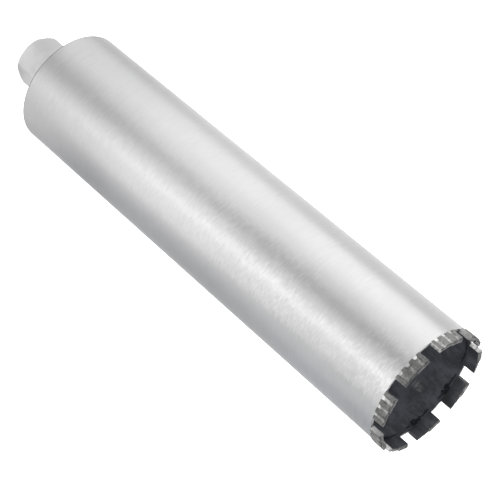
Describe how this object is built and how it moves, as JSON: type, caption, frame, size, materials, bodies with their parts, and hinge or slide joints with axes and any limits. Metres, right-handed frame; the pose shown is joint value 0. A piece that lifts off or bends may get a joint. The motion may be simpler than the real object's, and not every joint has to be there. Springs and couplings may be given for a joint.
{
  "type": "core drill bit",
  "caption": "Wet core drill bit: long steel barrel with grooved sintered cutting segments on its rim and a threaded hexagonal hub.",
  "frame": {"origin": "centre of the hub's end face, on the drilling axis, which is the middle of the bottom of the part's box", "axes": "+Z along the drilling axis from the hub to the cutting tips; X and Y across the barrel, with +X 6.5 degrees before the middle of segment_1"},
  "size_m": [0.1016, 0.1015, 0.4584],
  "materials": {
    "barrel_steel": "brushed round the barrel outside, dark matt paint inside",
    "plate_steel": "turned on the outside, dark matt paint inside the barrel",
    "hub_steel": "satin, milled flats and a turned chamfer",
    "weld_metal": "rippled bead, wire brushed",
    "segment_metal": "grainy sintered metal, ground bright at its foot, dark paint on the inner face"
  },
  "bodies": {
    "root": {"barrel_tube": "barrel_steel", "end_plate": "plate_steel", "hex_hub": "hub_steel", "hub_weld": "weld_metal", "plate_weld": "weld_metal", "segment_1": "segment_metal", "segment_2": "segment_metal", "segment_3": "segment_metal", "segment_4": "segment_metal", "segment_5": "segment_metal", "segment_6": "segment_metal", "segment_7": "segment_metal", "segment_8": "segment_metal", "segment_9": "segment_metal"}
  },
  "joints": []
}
